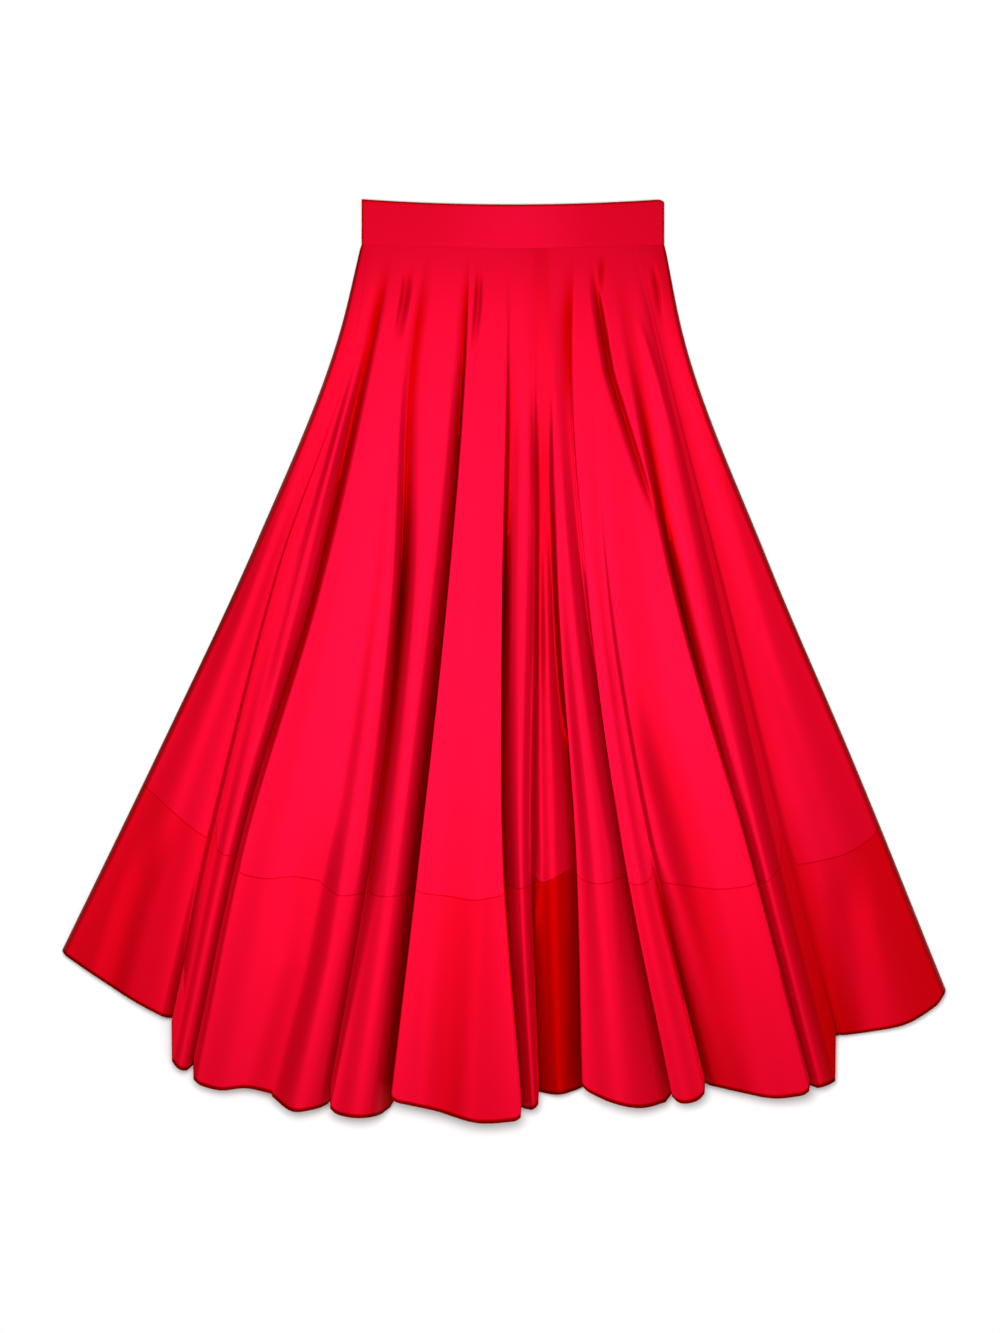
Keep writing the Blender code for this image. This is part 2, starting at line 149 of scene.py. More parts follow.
def eased_through(at, knots, values):
    """Value at each place: soft steps between the values at the knots, level at every knot."""
    knots, values = np.asarray(knots, dtype=float), np.asarray(values, dtype=float)
    span = np.clip(np.searchsorted(knots, at, side="right") - 1, 0, len(knots) - 2)
    share = (at - knots[span]) / (knots[span + 1] - knots[span])
    return values[span] + (values[span + 1] - values[span]) * ease(share)


def cubic(u, span, values, slopes, length):
    """Cubic piece between two knots: it leaves each value with that value's slope, u running from 0 to 1."""
    values, slopes = np.asarray(values, dtype=float), np.asarray(slopes, dtype=float)
    start = (2 * u ** 3 - 3 * u ** 2 + 1) * values[span] + (u ** 3 - 2 * u ** 2 + u) * length * slopes[span]
    end = (3 * u ** 2 - 2 * u ** 3) * values[span + 1] + (u ** 3 - u ** 2) * length * slopes[span + 1]
    return start + end


def line_at(places, level):
    """Place of a line at each level: cubic pieces through its five places, sloped by their neighbours."""
    slopes = np.gradient(np.asarray(places, dtype=float), LINE_LEVELS)
    span = np.clip(np.searchsorted(LINE_LEVELS, level, side="right") - 1, 0, len(LINE_LEVELS) - 2)
    length = LINE_LEVELS[span + 1] - LINE_LEVELS[span]
    return cubic((level - LINE_LEVELS[span]) / length, span, places, slopes, length)


def bell(distance, left, right):
    """Half a cosine wave each side of 0, which ends at the left and the right width."""
    share = np.abs(distance) / np.where(distance < 0, left, right)
    return 0.5 + 0.5 * np.cos(math.pi * np.clip(share, 0, 1))


# The square of the share of a hollow's width over which its point is rounded: about an eighth of the width.
HOLLOW_ROUNDING = 0.015


def hollow(distance, left, right):
    """Slope that steepens toward 0: the square of what is left of the way, barely rounded at 0."""
    share = np.sqrt((distance / np.where(distance < 0, left, right)) ** 2 + HOLLOW_ROUNDING)
    return (1 - np.clip(share, 0, 1)) ** 2 / (1 - math.sqrt(HOLLOW_ROUNDING)) ** 2


WAIST_Y = 456.0
WAIST_SAG = 4.0
FAN_CENTRE = (12.0, 810.0)


def across_waist(x):
    """Place across the waist, -1 at its left end and 1 at its right one."""
    middle = (LEFT_EDGE[0] + RIGHT_EDGE[0]) / 2
    return (x - middle) / (RIGHT_EDGE[0] - middle)


def waist_seam_y(x):
    """Waist seam: a shallow parabola, lowest in the middle."""
    return WAIST_Y - WAIST_SAG * (1 - across_waist(x) ** 2)


def hem_y(x, radius):
    """Hem: a circle of that radius about the fan's centre."""
    return FAN_CENTRE[1] - np.sqrt(radius ** 2 - (x - FAN_CENTRE[0]) ** 2)


def hem_lines():
    """Places of the left edge, the twelve lines and the right edge across the hem."""
    return [LEFT_EDGE[4]] + [fold[0][4] for fold in FOLDS.values()] + [RIGHT_EDGE[4]]


# How far a panel's own values stay away from its lines: just off the line where its lip lies on top, and
# further where it goes under its neighbour, though never more than a share of a narrow panel.
LIP_INSET = 0.5
UNDER_INSET = 10.0
UNDER_SHARE = 0.38


def across_panels(hem_x, kind):
    """One kind of value of the panels at each place across the hem: soft steps through what each panel gives.

    From one panel to the next the step lies in the slot between them, beside the lip of the layer on top.
    """
    leans = [1] + [fold[6] for fold in FOLDS.values()] + [-1]
    lines = hem_lines()
    places, values = [], []
    for index, panel in enumerate(PANELS.values()):
        left, right = lines[index], lines[index + 1]
        under = min(UNDER_INSET, UNDER_SHARE * (right - left))
        start = left + (LIP_INSET if leans[index] > 0 else under)
        end = right - (under if leans[index + 1] > 0 else LIP_INSET)
        places += list(np.linspace(start, end, len(panel[kind])))
        values += panel[kind]
    return eased_through(np.clip(hem_x, places[0], places[-1] - 1e-6), places, values)


# Nominal level of the hem band's seam. Each panel has a column of points for each COLUMN_PITCH of its hem and
# a few more, and COLUMN_GATHER draws them toward the lines.
SEAM_LEVEL = 0.752
EXTRA_COLUMNS = 8
COLUMN_PITCH = 3.8
COLUMN_GATHER = 0.12


def column_grid(rows):
    """Level and place across of every point for nominal row levels, and each column's place at the hem.

    Each panel is shared out between its lines, with its columns closest at them. The nominal level of the
    band's seam is stretched to the one that the panels give, evenly above it and below it.
    """
    lines = [LEFT_EDGE] + [fold[0] for fold in FOLDS.values()] + [RIGHT_EDGE]
    shares, owners = [], []
    for index, (left, right) in enumerate(zip(lines[:-1], lines[1:])):
        count = int(EXTRA_COLUMNS + (right[4] - left[4]) / COLUMN_PITCH)
        share = np.arange(count) / count
        shares.append(share - COLUMN_GATHER * np.sin(2 * math.pi * share))
        owners.append(np.full(count, index))
    share = np.append(np.concatenate(shares), 1.0)
    owner = np.append(np.concatenate(owners), len(lines) - 2)
    places = np.array(lines, dtype=float)
    hem_x = places[owner, 4] * (1 - share) + places[owner + 1, 4] * share
    seam = across_panels(hem_x, SEAM_LEVELS)[None, :]
    row = rows[:, None]
    below_seam = seam + (row - SEAM_LEVEL) * (1 - seam) / (1 - SEAM_LEVEL)
    level = np.where(row <= SEAM_LEVEL, row * seam / SEAM_LEVEL, below_seam)
    x = np.zeros_like(level)
    for index in range(len(lines) - 1):
        columns = owner == index
        at = level[:, columns]
        from_left = line_at(lines[index], at) * (1 - share[columns])
        x[:, columns] = from_left + line_at(lines[index + 1], at) * share[columns]
    return level, x, hem_x[None, :]


def hem_radii(hem_x):
    """Radius of the hem at each place across it: in each panel, a cubic curve through its four radii."""
    lines = hem_lines()
    radius = np.zeros_like(hem_x)
    for left, right, (_, radii, _) in zip(lines[:-1], lines[1:], PANELS.values()):
        share = (hem_x - left) / (right - left)
        inside = (share >= 0) & (share <= 1)
        slopes = np.gradient(np.array(radii, dtype=float))
        span = np.clip((share * 3).astype(int), 0, 2)
        radius = np.where(inside, cubic(share * 3 - span, span, radii, slopes, 1.0), radius)
    return radius


# Painted shade beside a fold's line: it reaches this far, and half a slope more, over the lower layer, and
# less over the lip. A power below 1 keeps it broad.
DARK_UNDER = 4
DARK_LIP = 0.5
DARK_LIP_SHARE = 0.6
DARK_POWER = 0.75


def dark_reach(slope_width, lower_layer):
    """How far painted shade reaches to one side: half the slope's width and a little, or part of it over a
    lip.
    """
    if lower_layer:
        return DARK_UNDER + slope_width / 2
    return DARK_LIP + DARK_LIP_SHARE * np.maximum(slope_width - DARK_UNDER, 0)


# Creases: the shares of the way at which a rise and a painted shade are given; where fading starts, and
# the y under which a crease ends at the hem and doesn't fade; the shade above which a crease is a sharp
# hollow; and the height of cloth that takes a crease at its full rise. A power below 1 keeps the shade broad.
CREASE_KNOTS = (0, 0.3, 1)
FADE_START = 0.75
NO_FADE_Y = -300
SHARP_CREASE_DARK = 0.2
FULL_CREASE_HEIGHT = 4
CREASE_DARK_POWER = 0.7


def press_creases(x, y, height, light):
    """Height and painted light with the soft creases in: each adds a bell or a hollow, as tall as its rise
    there.
    """
    for ys, xs, (rise_middle, rise_end), (left, right), (dark_middle, dark_end) in CREASES.values():
        along = np.clip((ys[0] - y) / (ys[0] - ys[2]), 0, 1)
        bend = (ys[0] - ys[1]) / (ys[0] - ys[2])
        fading = 1 - ease((along - FADE_START) / (1 - FADE_START)) if ys[2] > NO_FADE_Y else 1.0
        profile = hollow if dark_middle > SHARP_CREASE_DARK else bell
        pressed = profile(x - np.interp(along, (0, bend, 1), xs), left, right) * fading
        rise = eased_through(along, CREASE_KNOTS, (0, rise_middle, rise_end))
        dark = eased_through(along, CREASE_KNOTS, (0, dark_middle, dark_end))
        height = height + rise * pressed * ease(height / FULL_CREASE_HEIGHT)
        # Painted shade along the crease.
        light = light * (1 - dark * pressed ** CREASE_DARK_POWER)
    return height, light


# The cloth lies from CLOTH_BASE up to its crowns, which all have one height near the waist and come to their
# own further down. The dome lifts the middle of the waist.
CLOTH_BASE = 2.55
COMMON_CROWN = 20.0
CROWN_START = 0.1
CROWN_SPAN = 0.5
HEIGHT_GROWTH = 0.62
WAIST_REACH = 0.05
WAIST_DOME = 1.6

# A fold's slopes go from soft to sharp beyond SHARP_START, unless its slot starts at SOFT_START or nearer the
# hem. The slot's half width grows from SLOT_WIDTH by SLOT_WIDENING toward the hem, and it takes SLOT_DEPTH of
# the height once it has opened over SLOT_SPAN.
SHARP_START = 0.15
SHARP_SPAN = 0.3
SOFT_START = 0.9
SLOT_WIDTH = 2.5
SLOT_WIDENING = 2.5
SLOT_DEPTH = 0.95
SLOT_SPAN = 0.3

# At the hem a slot ends in a notch, with a ramp on its far side and its edge at the lip, whose corner is
# rounded. The hem's two ends are rounded too, and the side edges roll down to the back.
NOTCH_RAMP = 4.2
NOTCH_EDGE = 0.3
LIP_CORNER = 9.0
LIP_CORNER_RISE = 4.5
LEFT_CORNER_RISE = 3.0
LEFT_CORNER_WIDTH = 5.0
RIGHT_CORNER_RISE = 9.0
RIGHT_CORNER_WIDTH = 12.0
SIDE_ROLL = 3.5

# Painted shade: the cloth is a little darker under the waistband, and dark in a fine rim along its sides and
# hem.
WAIST_SHADE = 0.05
WAIST_SHADE_SPAN = 0.22
RIM_SHADE = 0.85
RIM_WIDTH = 2.4
HEM_RIM_LEVEL = 0.9965


def front_surface(rows):
    """Middle surface of the front cloth, levels by columns by 3, and how much painted light each place keeps.

    Each column falls straight from the waist seam to the hem. The crowns rise with the level. At a fold the
    height is multiplied by what its slot and its slopes leave. The slot lies beside the lip on the lower
    layer's side, and its bottom slips sideways under the lip.
    """
    level, x, hem_x = column_grid(rows)
    waist_x = x[:1]
    own_crown = ease((level - CROWN_START) / CROWN_SPAN)
    crown = COMMON_CROWN + (across_panels(hem_x, CROWNS) - COMMON_CROWN) * own_crown
    radius = hem_radii(hem_x)
    growth = level * (level ** 2 + WAIST_REACH ** 2) ** ((HEIGHT_GROWTH - 1) / 2)
    height = (crown - CLOTH_BASE) * growth
    slip = np.zeros_like(x)
    light = np.ones_like(x)
    slot_width = SLOT_WIDTH + SLOT_WIDENING * level
    for line, start, darks, slopes, left, right, lean, fold_radius in FOLDS.values():
        side = math.copysign(1, lean)
        sharp = ease((level - SHARP_START) / SHARP_SPAN) * (start < SOFT_START)
        beside = x - line_at(line, level)
        distance = beside + side * slot_width
        left_width = np.maximum(np.interp(level, WIDTH_LEVELS, left), slot_width)
        right_width = np.maximum(np.interp(level, WIDTH_LEVELS, right), slot_width)
        slope = eased_through(level, DEPTH_LEVELS, slopes)
        dark = eased_through(level, DEPTH_LEVELS, darks)
        slot = SLOT_DEPTH * ease((level - start) / SLOT_SPAN)
        narrow = bell(distance, slot_width, slot_width)
        wide = sharp * hollow(distance, left_width, right_width)
        wide = wide + (1 - sharp) * bell(distance, left_width, right_width)
        height = height * (1 - slope * wide) * (1 - slot * narrow)
        slip = slip + lean * slot ** 2 * narrow
        dark_left = dark_reach(left_width, lean > 0)
        dark_right = dark_reach(right_width, lean < 0)
        # Painted shade beside the fold's line.
        light = light * (1 - dark * bell(beside, dark_left, dark_right) ** DARK_POWER)
        slot_side = side * (hem_x - line[4])
        corner = np.clip(1 - np.abs(slot_side) / LIP_CORNER, 0, 1) ** 2 * (slot_side >= 0)
        notch = bell(np.minimum(slot_side + slot_width[-1], 0), NOTCH_RAMP, 1.0) * (slot_side < -NOTCH_EDGE)
        radius = radius + ((fold_radius - radius) * notch - LIP_CORNER_RISE * corner) * slot[-1]
    from_left, from_right = hem_x - hem_x[0, 0], hem_x[0, -1] - hem_x
    radius = radius - LEFT_CORNER_RISE * np.clip(1 - from_left / LEFT_CORNER_WIDTH, 0, 1) ** 2
    radius = radius - RIGHT_CORNER_RISE * np.clip(1 - from_right / RIGHT_CORNER_WIDTH, 0, 1) ** 2
    roll_left = np.clip((x - x[:, :1]) / SIDE_ROLL, 0, 1)
    roll_right = np.clip((x[:, -1:] - x) / SIDE_ROLL, 0, 1)
    height = height * np.sqrt(1 - (1 - roll_left) ** 2) * np.sqrt(1 - (1 - roll_right) ** 2)
    top = waist_seam_y(waist_x)
    y = top + (hem_y(hem_x, radius) - top) * level
    height, light = press_creases(x, y, height, light)
    # Painted shade under the waistband, and in a fine dark rim along the sides and hem.
    light = light * (1 - WAIST_SHADE * (1 - ease(level / WAIST_SHADE_SPAN)))
    rim = np.maximum(bell(x - x[:, :1], RIM_WIDTH, RIM_WIDTH), bell(x[:, -1:] - x, RIM_WIDTH, RIM_WIDTH))
    light = light * (1 - RIM_SHADE * np.maximum(rim, level > HEM_RIM_LEVEL))
    dome = WAIST_DOME * np.maximum(0, 1 - across_waist(waist_x) ** 2) * (1 - level)
    surface = np.stack([x + slip, y, CLOTH_BASE + np.maximum(height, 0) + dome], axis=-1)
    return surface, light


# Rows of points: one at the band's seam, one this close above it and one below, and a few close at the hem.
SEAM_STEP = 0.0012
SKIRT_ROWS = 116
BAND_ROWS = 43
SKIRT_LEVELS = np.append(np.linspace(0.0, SEAM_LEVEL - SEAM_STEP, SKIRT_ROWS), SEAM_LEVEL)
HEM_LEVELS = (0.9972, 0.9985, 1.0)
BAND_LEVELS = np.concatenate([np.linspace(SEAM_LEVEL + SEAM_STEP, 0.995, BAND_ROWS), HEM_LEVELS])
front_grid, front_painted_light = front_surface(np.concatenate([SKIRT_LEVELS, BAND_LEVELS]))


def unit_normals(grid):
    """Normals of a grid: the cross product of its steps down and across, made unit length."""
    normals = np.cross(np.gradient(grid, axis=0), np.gradient(grid, axis=1))
    return normals / np.linalg.norm(normals, axis=2, keepdims=True)


# An edge bent more than this stays sharp, which keeps the rim of the shell crisp.
SHARP_ANGLE = math.radians(60)


def cloth_shell(name, grid, normals, wall, shade=None):
    """Closed shell: the grid moved half the wall out along its normals and half in, joined round its rim.

    Its UV map holds the cloth's own metres: along each row, and down each column. The shade attribute, 0 to
    1, is shade painted into the colour: most where a place is hidden in a fold, and along rims and the seam.
    """
    rows, columns = grid.shape[:2]
    outer = grid + normals * wall / 2
    inner = grid - normals * wall / 2
    upper = np.arange(rows * columns).reshape(rows, columns)
    lower = upper + rows * columns
    rim = np.concatenate([upper[0, :-1], upper[:-1, -1], upper[-1, :0:-1], upper[:0:-1, 0]])
    following = np.roll(rim, -1)
    quads = np.concatenate([
        np.stack([upper[:-1, :-1], upper[1:, :-1], upper[1:, 1:], upper[:-1, 1:]], axis=-1).reshape(-1, 4),
        np.stack([lower[:-1, :-1], lower[:-1, 1:], lower[1:, 1:], lower[1:, :-1]], axis=-1).reshape(-1, 4),
        np.stack([rim, following, following + rows * columns, rim + rows * columns], axis=-1)])
    mesh = bpy.data.meshes.new(name)
    points = np.concatenate([outer.reshape(-1, 3), inner.reshape(-1, 3)]) * MM
    mesh.from_pydata(points.tolist(), [], quads.tolist())
    along_row = np.linalg.norm(np.diff(grid, axis=1, prepend=grid[:, :1]), axis=2).cumsum(axis=1)
    down_column = np.linalg.norm(np.diff(grid, axis=0, prepend=grid[:1]), axis=2).cumsum(axis=0)
    from_middle = along_row - along_row[:, columns // 2, None]
    places = np.stack([from_middle, down_column], axis=-1).reshape(-1, 2) * MM
    corner_vertices = np.zeros(len(mesh.loops), dtype=np.int32)
    mesh.loops.foreach_get("vertex_index", corner_vertices)
    uv_map = mesh.uv_layers.new(name="cloth")
    uv_map.data.foreach_set("uv", np.tile(places, (2, 1))[corner_vertices].astype(np.float32).ravel())
    # Painted shade, which the material turns into darker colour.
    if shade is not None:
        painted_shade = mesh.attributes.new("painted_shade", "FLOAT", "POINT")
        painted_shade.data.foreach_set("value", np.tile(shade.ravel(), 2).astype(np.float32))
    mesh.shade_smooth()
    mesh.set_sharp_from_angle(angle=SHARP_ANGLE)
    piece = bpy.data.objects.new(name, mesh)
    bpy.context.scene.collection.objects.link(piece)
    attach(piece, "root")
    return piece


def double_knit_face():
    """Node group for the knit's face: sine waves along and across the cloth multiplied, and a cloudy tone.

    It works on the cloth's own metres. A wave scale of 1 gives about 3.2 waves a metre.
    """
    group = bpy.data.node_groups.new("double_knit_face", "ShaderNodeTree")
    group.interface.new_socket(name="Wave scale", in_out="INPUT", socket_type="NodeSocketFloat")
    group.interface.new_socket(name="Height", in_out="OUTPUT", socket_type="NodeSocketFloat")
    group.interface.new_socket(name="Tone", in_out="OUTPUT", socket_type="NodeSocketFloat")
    nodes, links = group.nodes, group.links
    inputs = nodes.new("NodeGroupInput")
    outputs = nodes.new("NodeGroupOutput")
    cloth = nodes.new("ShaderNodeUVMap")
    cloth.uv_map = "cloth"
    heights = []
    for direction in ("X", "Y"):
        waves = nodes.new("ShaderNodeTexWave")
        waves.wave_type = "BANDS"
        waves.bands_direction = direction
        waves.inputs["Distortion"].default_value = 0.6
        waves.inputs["Detail"].default_value = 1.0
        links.new(cloth.outputs["UV"], waves.inputs["Vector"])
        links.new(inputs.outputs["Wave scale"], waves.inputs["Scale"])
        heights.append(waves.outputs["Fac"])
    loops = nodes.new("ShaderNodeMath")
    loops.operation = "MULTIPLY"
    links.new(heights[0], loops.inputs[0])
    links.new(heights[1], loops.inputs[1])
    cloud = nodes.new("ShaderNodeTexNoise")
    cloud.inputs["Scale"].default_value = 9.0
    cloud.inputs["Detail"].default_value = 3.0
    links.new(cloth.outputs["UV"], cloud.inputs["Vector"])
    links.new(loops.outputs["Value"], outputs.inputs["Height"])
    links.new(cloud.outputs["Fac"], outputs.inputs["Tone"])
    return group


def colour_mix(tree, factor, first, second):
    """Colour between two others by a factor from another node. Each is a colour or the output of a node."""
    mix = tree.nodes.new("ShaderNodeMix")
    mix.data_type = "RGBA"
    tree.links.new(factor, mix.inputs["Factor"])
    for socket, colour in ((mix.inputs["A"], first), (mix.inputs["B"], second)):
        if isinstance(colour, bpy.types.NodeSocket):
            tree.links.new(colour, socket)
        else:
            socket.default_value = colour
    return mix.outputs["Result"]


# The knit's loops are 2 mm apart and 0.1 mm high. In painted shade the pink of the colour and of the sheen
# is gone where a third of the light is painted out, and the darkest painted red is left where all of it is.
knit_face = double_knit_face()
KNIT_WAVE_SCALE = 160.0
LOOP_HEIGHT = 0.0001
PAINTED_SHADE_PINK_LOSS = 3.0
PAINTED_SHADE_RED = (0.07, 0.0, 0.0, 1.0)
SHEEN_LIT = (1.0, 0.06, 0.45, 1.0)
SHEEN_IN_PAINTED_SHADE = (0.3, 0.0, 0.0, 1.0)


def red_knit(name, deep, bright, roughness):
    """Material of one red cloth: base colour between two reds by the faint tone, soft sheen, knit bump.

    Where shade is painted, as in a fold, the pink of the base and of the sheen goes first, then the red gets
    darker.
    """
    material = bpy.data.materials.new(name)
    material.use_nodes = True
    tree = material.node_tree
    nodes, links = tree.nodes, tree.links
    shader = nodes["Principled BSDF"]
    face = nodes.new("ShaderNodeGroup")
    face.node_tree = knit_face
    face.inputs["Wave scale"].default_value = KNIT_WAVE_SCALE
    shade = nodes.new("ShaderNodeAttribute")
    shade.attribute_name = "painted_shade"
    # Painted shade, read from the attribute: it takes the pink out of the sheen and the base colour, then
    # darkens the red.
    pink_painted_out = nodes.new("ShaderNodeMath")
    pink_painted_out.operation = "MULTIPLY"
    pink_painted_out.use_clamp = True
    pink_painted_out.inputs[1].default_value = PAINTED_SHADE_PINK_LOSS
    links.new(shade.outputs["Fac"], pink_painted_out.inputs[0])
    sheen = colour_mix(tree, pink_painted_out.outputs["Value"], SHEEN_LIT, SHEEN_IN_PAINTED_SHADE)
    links.new(sheen, shader.inputs["Specular Tint"])
    reds = colour_mix(tree, face.outputs["Tone"], deep, bright)
    plain = colour_mix(tree, pink_painted_out.outputs["Value"], reds, (deep[0], 0.0, 0.0, 1.0))
    base = colour_mix(tree, shade.outputs["Fac"], plain, PAINTED_SHADE_RED)
    links.new(base, shader.inputs["Base Color"])
    bump = nodes.new("ShaderNodeBump")
    bump.inputs["Strength"].default_value = 0.15
    bump.inputs["Distance"].default_value = LOOP_HEIGHT
    links.new(face.outputs["Height"], bump.inputs["Height"])
    links.new(bump.outputs["Normal"], shader.inputs["Normal"])
    shader.inputs["Roughness"].default_value = roughness
    shader.inputs["Metallic"].default_value = 0.34
    shader.inputs["Specular IOR Level"].default_value = 0.36
    return material


# Places across the hem and how much shade is painted there, most at the two sides, where it turns away. The
# seam's row gets more painted shade still, so the seam shows as a fine line.
PAINTED_SHADE_PLACES = (-485, -372, -345, -250, -120, -20, 20, 34, 40, 80, 88, 180, 340, 400, 485)
SKIRT_PAINTED_SHADES = (0.14, 0.06, 0.02, 0.0, 0.0, 0.0, 0.0, 0.02, 0.08, 0.08, 0.0, 0.0, 0.01, 0.04, 0.14)
SEAM_SHADE = 0.28
CLOTH_WALL = 1.3
skirt_red = red_knit("skirt_red", deep=(0.50, 0.0, 0.006, 1.0), bright=(0.53, 0.0, 0.008, 1.0),
                     roughness=0.40)
front_normals = unit_normals(front_grid)
seam_row = len(SKIRT_LEVELS) - 1
hem_places = column_grid(np.array((1.0,)))[2]
# Painted shade along the seam's row.
front_painted_light[seam_row] *= 1 - SEAM_SHADE
skirt_painted_light = front_painted_light[:seam_row + 1] * (1 - eased_through(hem_places, PAINTED_SHADE_PLACES, SKIRT_PAINTED_SHADES))
skirt_front = cloth_shell("skirt_front_cloth", front_grid[:seam_row + 1], front_normals[:seam_row + 1],
                          CLOTH_WALL, 1 - skirt_painted_light)
skirt_front.data.materials.append(skirt_red)
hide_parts("skirt_front")

# Hem band, front: a deep strip of the same cloth cut on the same ring, sewn to the panel's lower edge with a
# plain seam that shows as a fine line, and turned up at the hem. Its painted shade is darkest at the sides
# and in the tuck right of the middle.
BAND_PAINTED_SHADES = (0.20, 0.12, 0.03, 0.02, 0.0, 0.10, 0.02, 0.04, 0.34, 0.34, 0.02, 0.05, 0.05, 0.10, 0.26)
SEAM_GAP = 0.08
across_seam = np.gradient(front_grid[seam_row], axis=0)
across_seam /= np.linalg.norm(across_seam, axis=1, keepdims=True)
band_top = front_grid[seam_row] + SEAM_GAP * np.cross(across_seam, front_normals[seam_row])
band_grid = np.concatenate([band_top[None], front_grid[seam_row + 1:]])
band_painted_light = front_painted_light[seam_row:] * (1 - eased_through(hem_places, PAINTED_SHADE_PLACES, BAND_PAINTED_SHADES))
hem_band_front = cloth_shell("hem_band_front_cloth", band_grid, front_normals[seam_row:],
                             CLOTH_WALL, 1 - band_painted_light)
band_red = red_knit("band_red", deep=(0.53, 0.0, 0.005, 1.0), bright=(0.56, 0.0, 0.007, 1.0),
                    roughness=0.42)
hem_band_front.data.materials.append(band_red)
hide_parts("hem_band_front")

# Back panel and its hem band: the same cut in the same cloth, lying flat under the front, since the floor
# presses it level. Their edges stay just inside the front's.
LEFT_CORNER_RADIUS = 1234.0
RIGHT_CORNER_RADIUS = 1263.0
BACK_RADIUS = 1262.0
BACK_CORNER_RISE = 3.0
BACK_INSET = 2.0
BACK_HEIGHT = 0.75
BACK_COLUMNS = 90
BACK_SKIRT_ROWS = 60
BACK_BAND_ROWS = 20


def back_grid(levels, columns):
    """Flat quarter ring inside the front's outline, a row for each level.

    Its hem's radius goes from the middle to the corners with the cube of the place across.
    """
    share = np.linspace(0, 1, columns)[None, :]
    level = levels[:, None]
    left = line_at(LEFT_EDGE, levels)[:, None] + BACK_INSET
    right = line_at(RIGHT_EDGE, levels)[:, None] - BACK_INSET
    x = left + (right - left) * share
    waist_x = LEFT_EDGE[0] + BACK_INSET + (RIGHT_EDGE[0] - LEFT_EDGE[0] - 2 * BACK_INSET) * share
    hem_x = LEFT_EDGE[4] + BACK_INSET + (RIGHT_EDGE[4] - LEFT_EDGE[4] - 2 * BACK_INSET) * share
    top = waist_seam_y(waist_x)
    corner = np.where(share < 0.5, LEFT_CORNER_RADIUS, RIGHT_CORNER_RADIUS) - BACK_CORNER_RISE
    radius = BACK_RADIUS + (corner - BACK_RADIUS) * np.abs(2 * share - 1) ** 3
    y = top + (hem_y(hem_x, radius) - top) * level
    return np.stack([x, y, 0 * x + BACK_HEIGHT], axis=-1)


back_skirt_levels = np.linspace(0, SEAM_LEVEL, BACK_SKIRT_ROWS)
back_band_levels = np.linspace(SEAM_LEVEL, 1.0, BACK_BAND_ROWS + 1)[1:]
back = back_grid(np.concatenate([back_skirt_levels, back_band_levels]), BACK_COLUMNS)
back_normals = unit_normals(back)
skirt_back = cloth_shell("skirt_back_cloth", back[:BACK_SKIRT_ROWS], back_normals[:BACK_SKIRT_ROWS],
                         CLOTH_WALL)
back_seam_row = BACK_SKIRT_ROWS - 1
band_back_top = back[back_seam_row:BACK_SKIRT_ROWS] - (0, SEAM_GAP, 0)
band_back_grid = np.concatenate([band_back_top, back[BACK_SKIRT_ROWS:]])
hem_band_back = cloth_shell("hem_band_back_cloth", band_back_grid, back_normals[back_seam_row:], CLOTH_WALL)
for piece, node, cloth in ((skirt_back, "skirt_back", skirt_red), (hem_band_back, "hem_band_back", band_red)):
    piece.data.materials.append(cloth)
    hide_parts(node)

# Waistband: a straight strip of doubled cloth, front and back half sewn together at the sides, pressed flat
# along its top fold. Its left end is square and its right end is rounded at the top.
BAND_WALL = 1.6
BAND_TOP_Y = 506.0
BAND_TOP_DIP = 6.0
BAND_CORNER_WIDTH = 7.0
BAND_CORNER_DROP = 3.5
BAND_COLUMNS = np.concatenate([(0.0, 0.004, 0.008), np.linspace(0.014, 0.986, 150), (0.992, 0.996, 1.0)])
BAND_RISES = np.append(1.0, np.linspace(0.972, 0, 27))

# Painted shade: the band is painted lightest a little right of its middle, and this much darker at its ends.
BAND_END_PAINTED_SHADE = 0.12
BAND_LIGHT_X = 25.0
BAND_LIGHT_LEFT = 130.0
BAND_LIGHT_RIGHT = 90.0


def waistband_grid(inset, height, dome):
    """Strip between the waist seam and a top edge that dips in the middle, and the shade painted at each
    place.

    The top edge and the dome are parabolas across the strip, and the right corner drops with the square of
    how near the end is.
    """
    share = BAND_COLUMNS[None, :]
    rise = BAND_RISES[:, None]
    left, right = LEFT_EDGE[0] + inset, RIGHT_EDGE[0] - inset
    x = left + (right - left) * share
    across = across_waist(x)
    corner = np.maximum(0.0, 1 - (right - x) / BAND_CORNER_WIDTH)
    bottom = waist_seam_y(x) + SEAM_GAP
    top = BAND_TOP_Y - BAND_TOP_DIP * (1 - across ** 2) - BAND_CORNER_DROP * corner ** 2
    y = bottom + (top - bottom) * rise
    z = height + dome * (1 - across ** 2) + 0 * y
    surface = np.stack([x + 0 * y, y, z], axis=-1)
    # Painted shade: a fine dark rim along the band's ends and top, and more toward its ends.
    rim = np.maximum(bell(x - left, RIM_WIDTH, RIM_WIDTH), bell(right - x, RIM_WIDTH, RIM_WIDTH))
    rim = np.maximum(rim, bell(top - y, RIM_WIDTH, RIM_WIDTH))
    tone = BAND_END_PAINTED_SHADE * (1 - bell(x - BAND_LIGHT_X, BAND_LIGHT_LEFT, BAND_LIGHT_RIGHT))
    return surface, 1 - (1 - RIM_SHADE * rim) * (1 - tone)


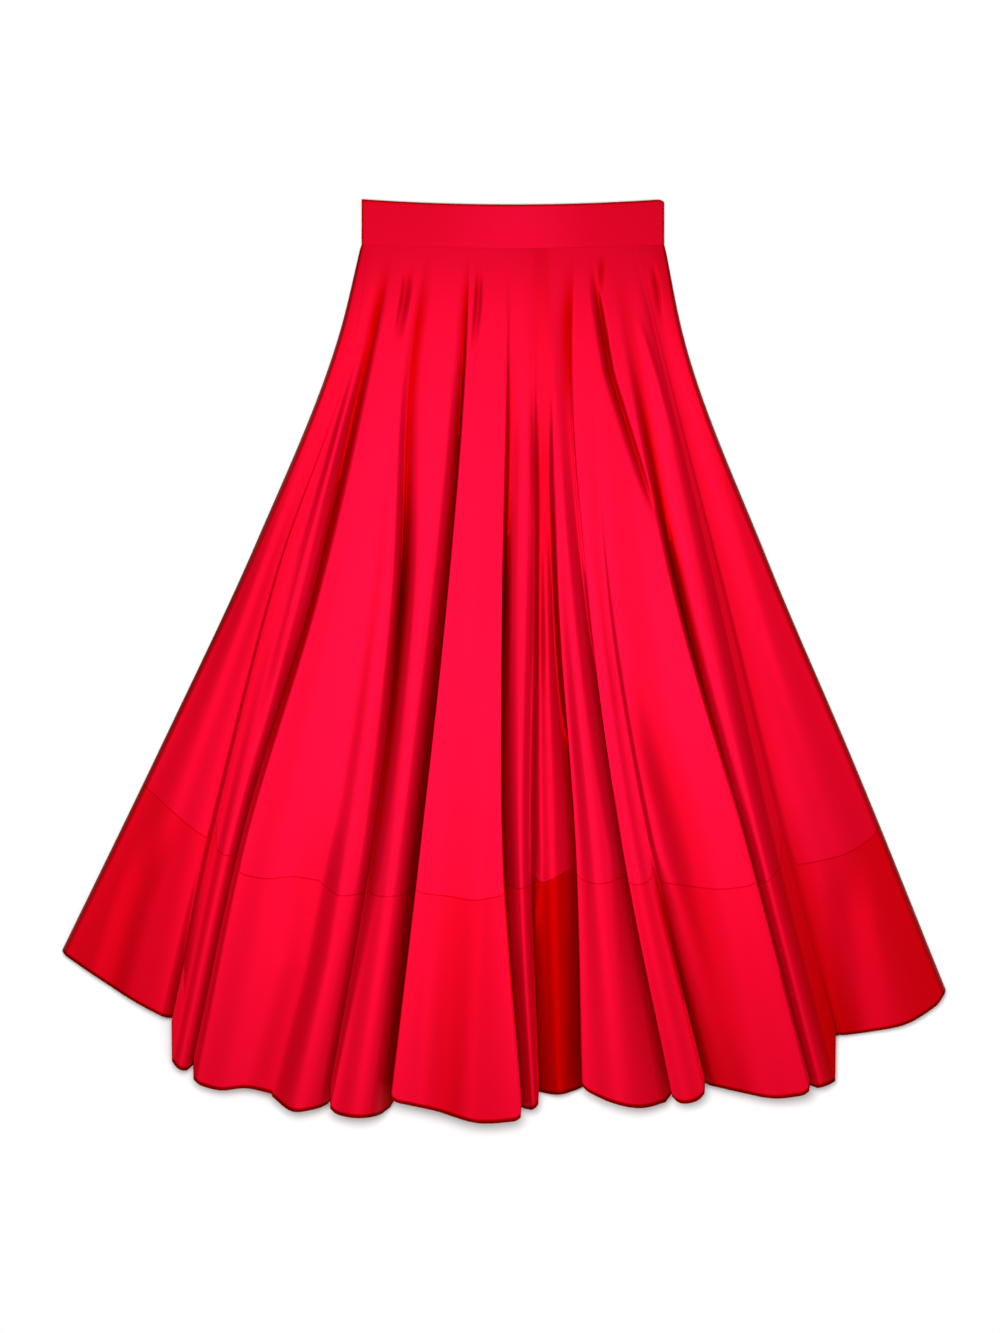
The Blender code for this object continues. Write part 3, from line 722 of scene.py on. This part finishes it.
waistband_red = red_knit("waistband_red", deep=(0.49, 0.0, 0.007, 1.0), bright=(0.52, 0.0, 0.010, 1.0),
                         roughness=0.46)
front_band, band_shade = waistband_grid(inset=0.0, height=3.0, dome=WAIST_DOME)
waistband_front = cloth_shell("waistband_front_cloth", front_band, unit_normals(front_band),
                              BAND_WALL, band_shade)
back_band, band_shade = waistband_grid(inset=0.6, height=0.9, dome=0.0)
waistband_back = cloth_shell("waistband_back_cloth", back_band, unit_normals(back_band),
                             BAND_WALL, band_shade)
for piece, node in ((waistband_front, "waistband_front"), (waistband_back, "waistband_back")):
    piece.data.materials.append(waistband_red)
    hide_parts(node)

# Floor: a white sheet, 12 m wide.
FLOOR_HALF = 6.0
floor_mesh = bpy.data.meshes.new("floor")
floor_corners = [(-FLOOR_HALF, -FLOOR_HALF, 0), (FLOOR_HALF, -FLOOR_HALF, 0),
                 (FLOOR_HALF, FLOOR_HALF, 0), (-FLOOR_HALF, FLOOR_HALF, 0)]
floor_mesh.from_pydata(floor_corners, [], [(0, 1, 2, 3)])
floor = bpy.data.objects.new("floor", floor_mesh)
bpy.context.scene.collection.objects.link(floor)
floor_white = bpy.data.materials.new("floor_white")
floor_white.use_nodes = True
floor_shader = floor_white.node_tree.nodes["Principled BSDF"]
floor_shader.inputs["Base Color"].default_value = (0.97, 0.97, 0.97, 1.0)
floor_shader.inputs["Roughness"].default_value = 0.9
floor_mesh.materials.append(floor_white)


def softbox(name, place, aim, width, height, power):
    """Rectangular area light at a place, turned toward its aim."""
    light = bpy.data.lights.new(name, "AREA")
    light.shape = "RECTANGLE"
    light.size = width
    light.size_y = height
    light.energy = power
    lamp = bpy.data.objects.new(name, light)
    lamp.location = place
    lamp.visible_camera = False
    lamp.rotation_euler = (Vector(aim) - Vector(place)).to_track_quat("-Z", "Y").to_euler()
    bpy.context.scene.collection.objects.link(lamp)


# Studio light: a softbox above the skirt's middle, a wider and weaker one from the lower right, and an even
# white room.
softbox("key", place=(-0.15, 0.15, 2.3), aim=(0.0, 0.0, 0.0), width=1.0, height=1.0, power=39.0)
softbox("fill", place=(1.6, -1.0, 2.6), aim=(0.0, -0.1, 0.0), width=1.6, height=1.6, power=12.0)
world = bpy.data.worlds.new("room")
world.use_nodes = True
room = world.node_tree.nodes["Background"]
room.inputs["Color"].default_value = (1.0, 1.0, 1.0, 1.0)
room.inputs["Strength"].default_value = 0.44
bpy.context.scene.world = world
bpy.context.scene.view_settings.view_transform = "Standard"
